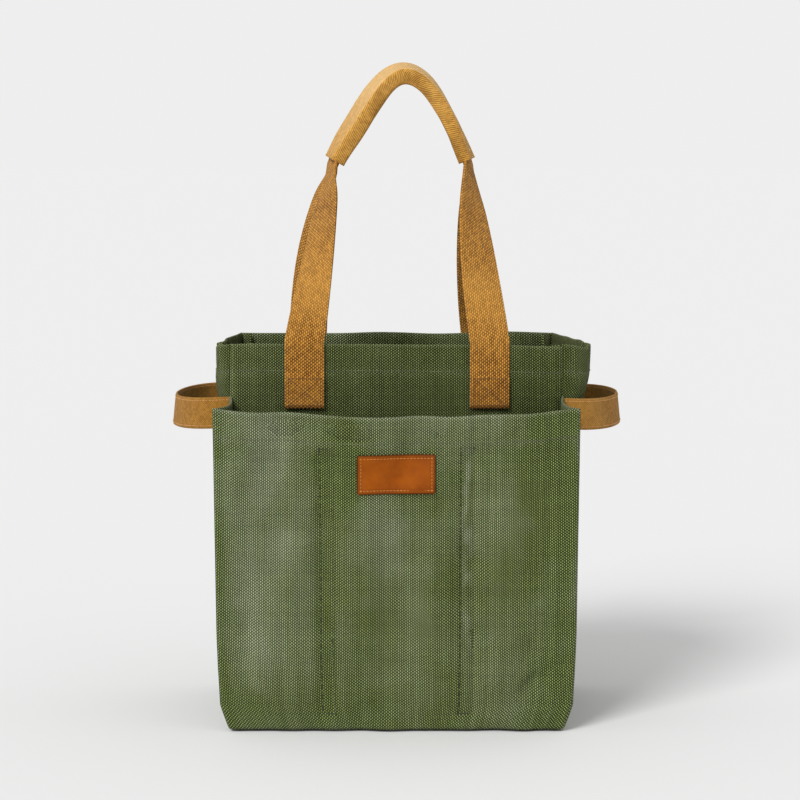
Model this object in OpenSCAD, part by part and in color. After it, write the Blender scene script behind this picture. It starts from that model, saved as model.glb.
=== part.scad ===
// Canvas garden tool bag: an open tote with a three-part bellows pocket on its front,
// two webbing handles held together by a wrap, and a loop on each side.
// +Z is up, the pocket faces -Y, and the origin is at the middle of the base.

/* [Bag body] */
// Width of the front and back panels, seam to seam
body_w = 318; // [260:1:400]
// Depth from the outside of the front panel to the outside of the back panel
body_d = 162; // [120:1:210]
// Height from the ground to the rim
body_h = 361; // [340:1:450]
// How far the left gusset bulges out past the panels
left_bulge = 19; // [8:1:28]
// How far the right gusset bulges out past the panels
right_bulge = 31; // [8:1:34]

/* [Cloth] */
// Thickness of one wall of canvas
canvas_t = 2; // [1.5:0.1:3]
// Thickness of a hem, folded to the inside
hem_t = 4; // [3.5:0.1:5]
// Height of the hems
hem_h = 27; // [15:1:35]

/* [Front pocket] */
// Width of the pocket's front panel at the top
pocket_w = 343; // [326:1:400]
// How far the pocket stands out from the front panel
pocket_d = 60; // [35:1:90]
// Height of the pocket at its sides
pocket_h = 305; // [220:1:320]
// How far the pocket's top edge sags in the middle
pocket_sag = 6; // [2:0.5:12]
// Distance from the middle to each divider
divider_x = 66; // [45:1:100]
// Height of the top of the dividers above the ground
divider_top = 270; // [150:1:290]
// Height of the bottom of the dividers above the ground
divider_low = 15; // [8:1:40]
// Thickness of a divider
divider_t = 1.6; // [1:0.1:3]
// Width of the flange that sews a divider to the pocket's front
divider_flange = 15; // [10:1:25]

/* [Patch] */
// Width of the leather patch
patch_w = 73; // [40:1:90]
// Height of the leather patch
patch_h = 37; // [20:1:60]
// Thickness of the leather
patch_t = 2; // [1:0.1:3]
// Height of the middle of the patch above the ground
patch_z = 244; // [150:1:270]

/* [Handles] */
// Width of the handle webbing
strap_w = 38; // [25:1:50]
// Thickness of the handle webbing
strap_t = 2.5; // [1.5:0.1:3.5]
// Distance from the middle to the middle of each strap's sewn end
strap_x = 88; // [65:1:125]
// Length of strap below the rim, down to its sewn end
sewn_len = 61; // [45:1:100]
// Height of the top of the handles' centre line above the rim
handle_rise = 257; // [220:1:350]

/* [Handle wrap] */
// Length of the wrap along its arch
wrap_len = 226; // [190:1:260]
// Bend radius of the arch at its top
arch_r = 38; // [28:1:45]
// Lean of the arch's straight sides from upright
arch_lean = 26; // [15:1:35]
// Thickness of the wrap with the straps inside
wrap_t = 18; // [14:0.5:24]
// Thickness of the wrap's own cloth
wrap_wall = 4; // [2:0.5:5]
// Room between the straps' edges and the wrap, each side
wrap_gap = 0.5; // [0.2:0.1:2]

/* [Side loops] */
// How far each loop stands out from the seams
loop_reach = 59; // [50:1:80]
// Height of the loop's band
loop_w = 30; // [20:1:36]
// Thickness of the loop's band
loop_t = 2.5; // [1.5:0.1:3.5]
// Height of the middle of the loops above the ground
loop_z = 295; // [200:1:320]
// Radius at which a loop starts to swing, about its seam
loop_start = 22; // [18.5:0.5:24]
// Gap between a loop's sewn end and its free part
loop_gap = 0.5; // [0.4:0.1:1]

/* [Hidden] */

canvas_green = [0.33, 0.40, 0.23];
webbing_tan = [0.72, 0.50, 0.25];
loop_tan = [0.70, 0.48, 0.22];
leather_brown = [0.62, 0.33, 0.09];

left = -1;
right = 1;
$fn = 96;

// depths of the main faces, with the whole bag centred on the origin
total_d = patch_t + pocket_d + body_d + strap_t;
pocket_face = -total_d / 2 + patch_t; // outside of the pocket's front
front_face = pocket_face + pocket_d; // outside of the front panel
back_face = front_face + body_d; // outside of the back panel
handle_y = (front_face + back_face) / 2; // middle plane of the handles

half_w = body_w / 2;
half_pocket = pocket_w / 2;
half_d = body_d / 2;
sag_steps = 20; // straight pieces in the pocket's sagging edge

// the arch of the wrap: a round top between two straight sides
arch_top = body_h + handle_rise;
arch_side = (wrap_len - arch_r * (180 - 2 * arch_lean) * PI / 180) / 2;
bend_x = arch_r * cos(arch_lean); // where the round top meets a straight side
bend_z = arch_top - arch_r + arch_r * sin(arch_lean);
arch_end_x = bend_x + arch_side * sin(arch_lean);
arch_end_z = bend_z - arch_side * cos(arch_lean);
ply_gap = 1.2; // between the two straps inside the wrap
ply = (strap_t + ply_gap) / 2; // from the arch's centre line to the middle of a strap
leg_gap = 0.3; // between a strap's leg and the end of the wrap
leg_rings = 16;
arch_steps = 24;

// radius of the arc whose chord is the body's depth
function bulge_r(b) = (half_d * half_d + b * b) / (2 * b);

// plan of one gusset's bulge: the part of a disc that lies outside the seams
module bulge_plan(b, inset = 0) {
    r = bulge_r(b);
    intersection() {
        translate([half_w - r + b, handle_y]) circle(r - inset);
        translate([half_w, front_face - b]) square([2 * b, body_d + 2 * b]);
    }
}

module bottom_panel() {
    color(canvas_green) linear_extrude(canvas_t) union() {
        translate([-half_w, front_face]) square([body_w, body_d]);
        bulge_plan(right_bulge);
        mirror([1, 0]) bulge_plan(left_bulge);
    }
}

// an upright panel standing on the bottom, with its hem folded to the side that inward gives
module body_panel(face, inward) {
    color(canvas_green) union() {
        translate([-half_w, min(face, face + inward * canvas_t), canvas_t])
            cube([body_w, canvas_t, body_h - canvas_t]);
        translate([-half_w, min(face, face + inward * hem_t), body_h - hem_h])
            cube([body_w, hem_t, hem_h]);
    }
}

module gusset(b) {
    color(canvas_green) union() {
        translate([0, 0, canvas_t]) linear_extrude(body_h - canvas_t)
            difference() {
                bulge_plan(b);
                bulge_plan(b, canvas_t);
            }
        translate([0, 0, body_h - hem_h]) linear_extrude(hem_h)
            difference() {
                bulge_plan(b);
                bulge_plan(b, hem_t);
            }
    }
}

// height of the pocket's sagging top edge, at a place along its width
function sag_z(x) = pocket_h - pocket_sag * (1 - pow(x / half_pocket, 2));

// one layer of the pocket's front, from a height up to the sagging edge
module pocket_layer(low, thick) {
    translate([0, pocket_face + thick, 0]) rotate([90, 0, 0]) linear_extrude(thick)
        polygon(concat(
            [[-half_pocket, low]],
            [for (i = [0:sag_steps])
                let (x = -half_pocket + pocket_w * i / sag_steps) [x, sag_z(x)]],
            [[half_pocket, low]]
        ));
}

module pocket_front_panel() {
    color(canvas_green) union() {
        pocket_layer(canvas_t, canvas_t);
        pocket_layer(pocket_h - hem_h, hem_t);
    }
}

// plan of the right side of the bellows, from behind the pocket's front to the front panel
module pocket_side_plan(t) {
    polygon([
        [half_pocket, pocket_face + hem_t],
        [half_w, front_face],
        [half_w - t, front_face],
        [half_pocket - t, pocket_face + hem_t]
    ]);
}

module pocket_gusset(side) {
    color(canvas_green) mirror([side == left ? 1 : 0, 0, 0]) union() {
        translate([0, 0, canvas_t]) linear_extrude(pocket_h - canvas_t) pocket_side_plan(canvas_t);
        translate([0, 0, pocket_h - hem_h]) linear_extrude(hem_h) pocket_side_plan(hem_t);
        // the edge that turns forward to meet the pocket's front, below its hem
        translate([half_pocket - canvas_t, pocket_face + canvas_t, canvas_t])
            cube([canvas_t, hem_t - canvas_t, pocket_h - hem_h - canvas_t]);
    }
}

module pocket_bottom() {
    color(canvas_green) linear_extrude(canvas_t) polygon([
        [-half_pocket, pocket_face],
        [half_pocket, pocket_face],
        [half_pocket, pocket_face + hem_t],
        [half_w, front_face],
        [-half_w, front_face],
        [-half_pocket, pocket_face + hem_t]
    ]);
}

module divider(side) {
    rise = divider_top - divider_low;
    color(canvas_green) translate([side * divider_x, 0, divider_low]) union() {
        translate([-divider_t / 2, pocket_face + canvas_t, 0])
            cube([divider_t, pocket_d - canvas_t, rise]);
        translate([-divider_flange / 2, pocket_face + canvas_t, 0])
            cube([divider_flange, divider_t, rise]);
    }
}

module leather_patch() {
    corner = 2;
    color(leather_brown) translate([0, pocket_face, patch_z]) rotate([90, 0, 0])
        linear_extrude(patch_t) union() {
            square([patch_w - 2 * corner, patch_h], center = true);
            square([patch_w, patch_h - 2 * corner], center = true);
            for (x = [-1, 1], z = [-1, 1])
                translate([x * (patch_w / 2 - corner), z * (patch_h / 2 - corner)])
                    circle(corner, $fn = 32);
        }
}

// the stretch of webbing that lies on a panel, from its sewn end up to the rim
module strap_end(side, back) {
    y = back ? back_face : front_face - strap_t;
    color(webbing_tan) translate([side * strap_x - strap_w / 2, y, body_h - sewn_len])
        cube([strap_w, strap_t, sewn_len]);
}

function unit(v) = v / norm(v);

// one ring of a strap's leg: 0 at the rim, where it faces the front, 1 at the wrap, edge on
// front and back legs turn the same way, so that they part as they leave the wrap
function leg_ring(side, foot, head, s) =
    let (
        mid = foot + (head - foot) * s,
        across = [cos(90 * s), side * sin(90 * s), 0] * strap_w / 2,
        run = unit(head - foot),
        through = unit(cross(across, run)) * strap_t / 2
    )
    [mid - across - through, mid + across - through, mid + across + through,
        mid - across + through];

// a strip of webbing that twists a quarter turn between the rim and the wrap
module strap_leg(side, back) {
    out = back ? -1 : 1; // the front strap is the outer ply in the wrap
    foot_y = back ? back_face + strap_t / 2 : front_face - strap_t / 2;
    foot = [side * strap_x, foot_y, body_h + strap_t];
    head = [
        side * (arch_end_x + out * ply * cos(arch_lean) + leg_gap * sin(arch_lean)),
        handle_y,
        arch_end_z + out * ply * sin(arch_lean) - leg_gap * cos(arch_lean) - strap_t
    ];
    rings = [for (i = [0:leg_rings]) each leg_ring(side, foot, head, i / leg_rings)];
    last = 4 * leg_rings;
    color(webbing_tan) polyhedron(rings, concat(
        [[0, 1, 2, 3], [last + 3, last + 2, last + 1, last]],
        [for (i = [0:leg_rings - 1], k = [0:3])
            let (a = 4 * i + k, b = 4 * i + (k + 1) % 4)
            each k == 2 // both wide faces are cut along the same diagonal
                ? [[a, a + 4, b], [b, a + 4, b + 4]]
                : [[a, a + 4, b + 4], [a, b + 4, b]]]
    ));
}

// one edge of a band along the arch, from its left end over the top to its right end,
// with both ends moved past the arch's own ends
function arch_edge(off, past) = let (
    r = arch_r + off,
    end_x = arch_end_x + off * cos(arch_lean) + past * sin(arch_lean),
    end_z = arch_end_z + off * sin(arch_lean) - past * cos(arch_lean)
) concat(
    [[-end_x, end_z]],
    [for (i = [0:arch_steps])
        let (a = 180 - arch_lean - (180 - 2 * arch_lean) * i / arch_steps)
        [r * cos(a), arch_top - arch_r + r * sin(a)]],
    [[end_x, end_z]]
);

// a band that follows the arch, at an offset outwards from its centre line
module arch_band(offset_out, thick, past) {
    inner = arch_edge(offset_out - thick / 2, past);
    polygon(concat(
        arch_edge(offset_out + thick / 2, past),
        [for (i = [len(inner) - 1:-1:0]) inner[i]]
    ));
}

module arch_solid(offset_out, thick, wide, past = 0) {
    translate([0, handle_y + wide / 2, 0]) rotate([90, 0, 0])
        linear_extrude(wide) arch_band(offset_out, thick, past);
}

module strap_top(out) {
    color(webbing_tan) arch_solid(out * ply, strap_t, strap_w);
}

module handle_wrap() {
    room = wrap_t - 2 * wrap_wall;
    color(loop_tan) difference() {
        arch_solid(0, wrap_t, strap_w + 2 * (wrap_gap + wrap_wall));
        arch_solid(0, room, strap_w + 2 * wrap_gap, past = wrap_wall);
    }
}

// half of an oval ring in plan, from the front seam round to the back seam
module loop_plan() {
    steps = 32;
    function oval(inset) = [for (i = [0:steps])
        let (a = -90 + 180 * i / steps)
        [half_w + (loop_reach - inset) * cos(a), handle_y + (half_d - inset) * sin(a)]];
    inner = oval(loop_t);
    polygon(concat(oval(0), [for (i = [0:steps]) inner[steps - i]]));
}

module loop_band() {
    translate([0, 0, loop_z - loop_w / 2]) linear_extrude(loop_w) loop_plan();
}

// a round core along the line that the loop swings about
module swing_core(r) {
    translate([half_w, handle_y + half_d + loop_t, loop_z]) rotate([90, 0, 0])
        cylinder(r = r, h = body_d + 2 * loop_t);
}

module side_loop(side) {
    color(loop_tan) mirror([side == left ? 1 : 0, 0, 0]) difference() {
        loop_band();
        swing_core(loop_start + loop_gap);
    }
}

// the sewn end of a loop, cut to lie against the gusset
module loop_end(side, back) {
    color(loop_tan) mirror([side == left ? 1 : 0, 0, 0]) difference() {
        intersection() {
            loop_band();
            swing_core(loop_start);
            translate([half_w, back ? handle_y : front_face, loop_z - loop_w / 2])
                cube([loop_reach, half_d, loop_w]);
        }
        linear_extrude(body_h) bulge_plan(side == left ? left_bulge : right_bulge);
    }
}

bottom_panel();
body_panel(front_face, 1);  // body_front_panel
body_panel(back_face, -1);  // body_back_panel
mirror([1, 0, 0]) gusset(left_bulge);  // left_gusset
gusset(right_bulge);  // right_gusset
pocket_front_panel();
pocket_gusset(left);  // pocket_left_gusset
pocket_gusset(right);  // pocket_right_gusset
pocket_bottom();
divider(left);  // left_divider
divider(right);  // right_divider
leather_patch();
strap_end(left, false);  // front_strap_left_end
strap_end(right, false);  // front_strap_right_end
strap_end(left, true);  // back_strap_left_end
strap_end(right, true);  // back_strap_right_end
strap_leg(left, false);  // front_strap_left_leg
strap_leg(right, false);  // front_strap_right_leg
strap_leg(left, true);  // back_strap_left_leg
strap_leg(right, true);  // back_strap_right_leg
strap_top(1);  // front_strap_top
strap_top(-1);  // back_strap_top
handle_wrap();
side_loop(left);  // left_loop
loop_end(left, false);  // left_loop_front_end
loop_end(left, true);  // left_loop_back_end
side_loop(right);  // right_loop
loop_end(right, false);  // right_loop_front_end
loop_end(right, true);  // right_loop_back_end
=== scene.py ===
import math

import bmesh
import bpy
import numpy as np
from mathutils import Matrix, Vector


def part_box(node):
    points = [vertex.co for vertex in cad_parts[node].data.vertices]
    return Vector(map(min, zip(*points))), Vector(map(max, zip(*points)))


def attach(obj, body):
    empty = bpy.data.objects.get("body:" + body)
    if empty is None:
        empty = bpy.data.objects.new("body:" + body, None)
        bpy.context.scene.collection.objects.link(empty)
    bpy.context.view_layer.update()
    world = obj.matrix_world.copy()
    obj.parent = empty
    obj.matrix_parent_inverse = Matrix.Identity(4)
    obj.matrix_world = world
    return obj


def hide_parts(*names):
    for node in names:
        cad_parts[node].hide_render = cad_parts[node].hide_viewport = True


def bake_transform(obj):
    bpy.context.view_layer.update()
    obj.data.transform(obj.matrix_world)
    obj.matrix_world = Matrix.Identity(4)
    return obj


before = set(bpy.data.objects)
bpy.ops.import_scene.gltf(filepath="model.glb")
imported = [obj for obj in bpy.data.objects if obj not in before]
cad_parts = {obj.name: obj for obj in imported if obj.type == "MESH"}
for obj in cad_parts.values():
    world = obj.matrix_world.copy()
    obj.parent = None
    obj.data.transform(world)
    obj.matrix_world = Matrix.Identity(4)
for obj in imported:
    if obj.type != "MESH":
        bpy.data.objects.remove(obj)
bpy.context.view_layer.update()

# the main faces of the bag, all from the frame
frontLow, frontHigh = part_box("body_front_panel")
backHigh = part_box("body_back_panel")[1]
pocketLow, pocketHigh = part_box("pocket_front_panel")
wrapLow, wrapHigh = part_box("handle_wrap")
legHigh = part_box("front_strap_right_leg")[1]
endLow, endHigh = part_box("front_strap_right_end")
patchLow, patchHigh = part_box("leather_patch")
loopLow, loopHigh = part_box("right_loop")
dividerLow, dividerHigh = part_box("right_divider")

halfW = frontHigh.x
frontY, backY = frontLow.y, backHigh.y
rimZ = frontHigh.z
halfP = pocketHigh.x
pocketY = pocketLow.y
pocketZ = pocketHigh.z
handleY = (wrapLow.y + wrapHigh.y) / 2
wrapEndZ = legHigh.z
dividerX = (dividerLow.x + dividerHigh.x) / 2
patchZ = (patchLow.z + patchHigh.z) / 2
patchW, patchH = patchHigh.x - patchLow.x, patchHigh.z - patchLow.z
bodyDepth = backY - frontY
pocketDepth = frontY - pocketY
bothSides = ((1, "right"), (-1, "left"))

cloth = {
    "thick": 0.0015,  # one layer of washed canvas
    "hem": 0.027,
    "hemBend": 0.0013,  # half the gap between the two layers of a hem
    "cell": 0.004,  # size of a mesh face on the large panels
    "seamRound": 0.004,
    "allowance": 0.009,  # the raw edge inside an upright seam
}


def softNoise(u, v, size, seed, waves=16):
    # a smooth field of about -1 to 1, with bumps of about the given size
    rng = np.random.default_rng(seed)
    total = np.zeros(np.broadcast(u, v).shape)
    for _ in range(waves):
        turn = rng.uniform(0, math.tau)
        rate = math.tau / (size * rng.uniform(0.7, 1.6))
        phase = rng.uniform(0, math.tau)
        total += np.sin((u * math.cos(turn) + v * math.sin(turn)) * rate + phase)
    return total / math.sqrt(waves) * 1.1


def bump(x, centre, width):
    return np.exp(-(((x - centre) / width) ** 2))


def smooth(x, low, high):
    t = np.clip((x - low) / (high - low), 0, 1)
    return t * t * (3 - 2 * t)


def spaced(low, high, step):
    return np.linspace(low, high, max(2, int(round((high - low) / step)) + 1))


def meshPiece(name, points, faces, uvs, material, wearAndPaintedLight):
    mesh = bpy.data.meshes.new(name)
    mesh.from_pydata([tuple(p) for p in points], [], faces)
    layer = mesh.uv_layers.new(name="UVMap")
    loops = np.empty(len(mesh.loops), np.int32)
    mesh.loops.foreach_get("vertex_index", loops)
    layer.data.foreach_set("uv", np.asarray(uvs, np.float32)[loops].ravel())
    # each vertex's value moves the colour paler or darker: real marks of use at hems and edges, and on
    # several pieces painted shade and painted highlight
    attribute = mesh.attributes.new("wearAndPaintedLight", "FLOAT", "POINT")
    attribute.data.foreach_set("value", np.asarray(wearAndPaintedLight, np.float32).ravel())
    mesh.polygons.foreach_set("use_smooth", [True] * len(mesh.polygons))
    mesh.materials.append(material)
    mesh.update()
    piece = bpy.data.objects.new(name, mesh)
    bpy.context.scene.collection.objects.link(piece)
    return piece


def gridFaces(rows, cols, flip=False):
    i, j = np.meshgrid(np.arange(rows - 1), np.arange(cols - 1), indexing="ij")
    a = (i * cols + j).ravel()
    quads = np.stack([a, a + 1, a + cols + 1, a + cols], 1)
    return (quads[:, ::-1] if flip else quads).tolist()


def faceOutwards(piece):
    bm = bmesh.new()
    bm.from_mesh(piece.data)
    bmesh.ops.recalc_face_normals(bm, faces=bm.faces)
    bm.to_mesh(piece.data)
    bm.free()
    return piece


def giveThickness(piece, thick, offset=-1):
    wall = piece.modifiers.new("thickness", "SOLIDIFY")
    wall.thickness = thick
    wall.offset = offset


class Tree:
    # a short way to write shader nodes
    def __init__(self, name):
        self.material = bpy.data.materials.new(name)
        self.material.use_nodes = True
        self.tree = self.material.node_tree
        self.shader = self.tree.nodes["Principled BSDF"]

    def add(self, kind, **settings):
        node = self.tree.nodes.new(kind)
        for key, value in settings.items():
            setattr(node, key, value)
        return node

    def link(self, a, b):
        self.tree.links.new(a, b)

    def put(self, socket, value):
        if isinstance(value, bpy.types.NodeSocket):
            self.link(value, socket)
        else:
            socket.default_value = value

    def math(self, operation, a, b=0.0, c=0.0):
        node = self.add("ShaderNodeMath", operation=operation)
        for socket, value in zip(node.inputs, (a, b, c)):
            self.put(socket, value)
        return node.outputs[0]

    def uv(self):
        split = self.add("ShaderNodeSeparateXYZ")
        self.link(self.add("ShaderNodeUVMap", uv_map="UVMap").outputs[0], split.inputs[0])
        return split.outputs[0], split.outputs[1]

    def vector(self, x, y, z=0.0):
        node = self.add("ShaderNodeCombineXYZ")
        for socket, value in zip(node.inputs, (x, y, z)):
            self.put(socket, value)
        return node.outputs[0]

    def random(self, x, y=0.0, seed=0.0):
        node = self.add("ShaderNodeTexWhiteNoise", noise_dimensions="3D")
        self.link(self.vector(x, y, seed), node.inputs["Vector"])
        return node.outputs["Value"]

    def noise(self, scale, detail=3.0, rough=0.5, vector=None):
        node = self.add("ShaderNodeTexNoise")
        node.inputs["Scale"].default_value = scale
        node.inputs["Detail"].default_value = detail
        node.inputs["Roughness"].default_value = rough
        if vector is None:
            vector = self.add("ShaderNodeTexCoord").outputs["Object"]
        self.link(vector, node.inputs["Vector"])
        return node.outputs["Fac"]

    def stretch(self, value, low, high, newLow=0.0, newHigh=1.0):
        node = self.add("ShaderNodeMapRange", clamp=True)
        for socket, number in zip(node.inputs, (value, low, high, newLow, newHigh)):
            self.put(socket, number)
        return node.outputs[0]

    def blend(self, amount, a, b):
        node = self.add("ShaderNodeMix", data_type="RGBA")
        self.put(node.inputs[0], amount)
        for socket, value in zip(node.inputs[6:8], (a, b)):
            self.put(socket, value if isinstance(value, bpy.types.NodeSocket) else (*value, 1.0))
        return node.outputs[2]

    # reads each vertex's value of painted shade, painted highlight and marks of use
    def wearAndPaintedLight(self):
        return self.add("ShaderNodeAttribute", attribute_name="wearAndPaintedLight").outputs["Fac"]

    def raised(self, height, distance, strength=1.0, under=None):
        node = self.add("ShaderNodeBump")
        node.inputs["Strength"].default_value = strength
        node.inputs["Distance"].default_value = distance
        self.link(height, node.inputs["Height"])
        if under is not None:
            self.link(under, node.inputs["Normal"])
        return node.outputs[0]


def yarnCrowns(t, u, v, look, wander=0.0):
    # the tops of the yarns: columns of short bumps, each column stepped by half a bump
    rows = t.math("DIVIDE", u, look["column"])
    bricks = t.math("DIVIDE", v, look["bump"])
    if wander:
        drift = t.math("MULTIPLY", t.noise(35.0, 2.0), wander)
        rows, bricks = t.math("ADD", rows, drift), t.math("ADD", bricks, drift)
    row = t.math("FLOOR", rows)
    bricks = t.math("ADD", bricks, t.math("MULTIPLY", t.math("FLOORED_MODULO", row, 2.0), 0.5))
    brick = t.math("FLOOR", bricks)
    inRow = t.math("ABSOLUTE", t.math("SINE", t.math("MULTIPLY", rows, math.pi)))
    inBrick = t.math("ABSOLUTE", t.math("SINE", t.math("MULTIPLY", bricks, math.pi)))
    crown = t.math("MULTIPLY", t.math("POWER", inRow, look["sharp"]),
                   t.math("POWER", inBrick, look["sharp"]))
    return crown, row, brick


def canvasMaterial(name, look):
    t = Tree(name)
    u, v = t.uv()
    crown, row, brick = yarnCrowns(t, u, v, look, 0.6)
    fleck = t.random(brick, row)
    yarn = t.math("ADD", t.math("MULTIPLY", t.random(brick, 0.0, 3.0), 0.3),
                  t.math("MULTIPLY", t.random(0.0, row, 7.0), 0.7))
    tone = t.math("MULTIPLY", crown, t.math("MULTIPLY_ADD", fleck, look["fleck"], 1.0 - look["fleck"]))
    tone = t.math("MULTIPLY", tone, t.math("MULTIPLY_ADD", yarn, look["yarn"], 1.0 - look["yarn"] / 2))
    woven = t.blend(tone, look["dark"], look["light"])
    # paler patches from washing, streaks down the cloth and paler edges from use; the per-vertex value added
    # here also brings painted shade, below zero, and painted highlight
    patches = t.stretch(t.noise(11.0, 4.0, 0.55), 0.40, 0.66)
    streaks = t.noise(1.0, 3.0, 0.6, t.vector(t.math("MULTIPLY", u, 75.0), t.math("MULTIPLY", v, 9.0)))
    washAndPaintedLight = t.math("MULTIPLY_ADD", patches, 0.7, t.math("MULTIPLY", t.stretch(streaks, 0.4, 0.7), 0.3))
    washAndPaintedLight = t.math("MULTIPLY", washAndPaintedLight, look["wash"])
    washAndPaintedLight = t.math("ADD", washAndPaintedLight, t.math("MULTIPLY", t.wearAndPaintedLight(), look["wearAndPaintedLight"]))
    washAndPaintedLight = t.math("MAXIMUM", t.math("MINIMUM", washAndPaintedLight, 1.0), 0.0)
    paler = t.blend(t.math("POWER", tone, 0.72), look["washDark"], look["washLight"])
    colour = t.blend(washAndPaintedLight, woven, paler)
    t.link(colour, t.shader.inputs["Base Color"])
    t.link(t.stretch(tone, 0.0, 1.0, 0.97, 0.84), t.shader.inputs["Roughness"])
    t.shader.inputs["Specular IOR Level"].default_value = 0.2
    t.shader.inputs["Sheen Weight"].default_value = look["sheen"]
    t.shader.inputs["Sheen Roughness"].default_value = 0.6
    slack = t.raised(t.noise(11.0, 2.0), 0.030, 0.5)
    crease = t.raised(t.noise(40.0, 4.0, 0.6), 0.0032, 0.6, slack)
    t.link(t.raised(crown, look["relief"], 0.9, crease), t.shader.inputs["Normal"])
    return t.material


def webbingMaterial(name, look):
    # coarse woven tape: short bricks of yarn in rows that step by half a brick
    t = Tree(name)
    u, v = t.uv()
    crown, row, brick = yarnCrowns(t, u, v, look)
    fleck = t.random(brick, row)
    tone = t.math("ADD", t.math("MULTIPLY", crown, 0.75), t.math("MULTIPLY", fleck, 0.28))
    tone = t.stretch(tone, 0.1, 1.0)
    woven = t.blend(tone, look["dark"], look["light"])
    patches = t.stretch(t.noise(14.0, 3.0), 0.35, 0.7)
    colour = t.blend(t.math("MULTIPLY", patches, 0.3), woven, look["pale"])
    # painted shade: the per-vertex value darkens the tape towards its shade colour inside and under the wrap
    # and at its folded ends
    colour = t.blend(t.math("MULTIPLY", t.wearAndPaintedLight(), 0.45), colour, look["shade"])
    t.link(colour, t.shader.inputs["Base Color"])
    t.link(t.stretch(tone, 0.0, 1.0, 0.95, 0.78), t.shader.inputs["Roughness"])
    t.shader.inputs["Specular IOR Level"].default_value = 0.18
    t.shader.inputs["Sheen Weight"].default_value = 0.06
    t.shader.inputs["Sheen Roughness"].default_value = 0.5
    t.link(t.raised(crown, look["relief"], 0.9), t.shader.inputs["Normal"])
    return t.material


def twillMaterial(name, look):
    # tan cotton with a fine diagonal rib
    t = Tree(name)
    u, v = t.uv()
    slant = t.math("DIVIDE", t.math("ADD", u, v), look["pitch"])
    rib = t.math("ABSOLUTE", t.math("SINE", t.math("MULTIPLY", slant, math.pi)))
    cell = t.random(t.math("FLOOR", t.math("DIVIDE", u, look["pitch"])),
                    t.math("FLOOR", t.math("DIVIDE", v, look["pitch"])))
    tone = t.math("ADD", t.math("MULTIPLY", rib, 0.6), t.math("MULTIPLY", cell, 0.4))
    woven = t.blend(tone, look["dark"], look["light"])
    patches = t.stretch(t.noise(18.0, 4.0, 0.6), 0.38, 0.68)
    colour = t.blend(t.math("MULTIPLY", patches, 0.35), woven, look["pale"])
    # darker where the per-vertex value is above zero: painted shade on the wrap's sides and in its creases,
    # and the darker loops; painted highlight, towards the paler colour, where the value is below zero along
    # the wrap's top
    colour = t.blend(t.math("MULTIPLY", t.wearAndPaintedLight(), 0.8), colour, look["shade"])
    topHighlight = t.math("MULTIPLY", t.math("MULTIPLY", t.wearAndPaintedLight(), -1.0), t.stretch(tone, 0.0, 1.0, 0.6, 1.0))
    colour = t.blend(t.math("MAXIMUM", topHighlight, 0.0), colour, look["topHighlight"])
    t.link(colour, t.shader.inputs["Base Color"])
    t.link(t.stretch(tone, 0.0, 1.0, 0.95, 0.8), t.shader.inputs["Roughness"])
    t.shader.inputs["Specular IOR Level"].default_value = 0.18
    t.shader.inputs["Sheen Weight"].default_value = 0.06
    t.shader.inputs["Sheen Roughness"].default_value = 0.5
    crease = t.raised(t.noise(60.0, 3.0), 0.0022, 0.5)
    t.link(t.raised(rib, look["relief"], 0.8, crease), t.shader.inputs["Normal"])
    return t.material


def leatherMaterial(name, look):
    t = Tree(name)
    mottle = t.stretch(t.noise(45.0, 5.0, 0.6), 0.1, 0.75)
    colour = t.blend(mottle, look["dark"], look["light"])
    colour = t.blend(t.wearAndPaintedLight(), colour, look["edge"])
    t.link(colour, t.shader.inputs["Base Color"])
    t.link(t.stretch(t.noise(120.0, 3.0), 0.3, 0.7, 0.34, 0.50), t.shader.inputs["Roughness"])
    t.shader.inputs["Specular IOR Level"].default_value = 0.12
    grain = t.add("ShaderNodeTexVoronoi", feature="DISTANCE_TO_EDGE")
    grain.inputs["Scale"].default_value = 900.0
    t.link(t.add("ShaderNodeTexCoord").outputs["Object"], grain.inputs["Vector"])
    rough = t.raised(t.noise(150.0, 4.0), 0.0006, 0.5)
    t.link(t.raised(t.stretch(grain.outputs["Distance"], 0.0, 0.12), 0.00015, 0.5, rough),
           t.shader.inputs["Normal"])
    return t.material


def threadMaterial(name, look):
    t = Tree(name)
    colour = t.blend(t.noise(300.0, 2.0), look["dark"], look["light"])
    t.link(colour, t.shader.inputs["Base Color"])
    t.link(t.stretch(t.noise(800.0, 1.0), 0.3, 0.7, 0.55, 0.75), t.shader.inputs["Roughness"])
    t.shader.inputs["Sheen Weight"].default_value = 0.2
    return t.material


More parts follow.
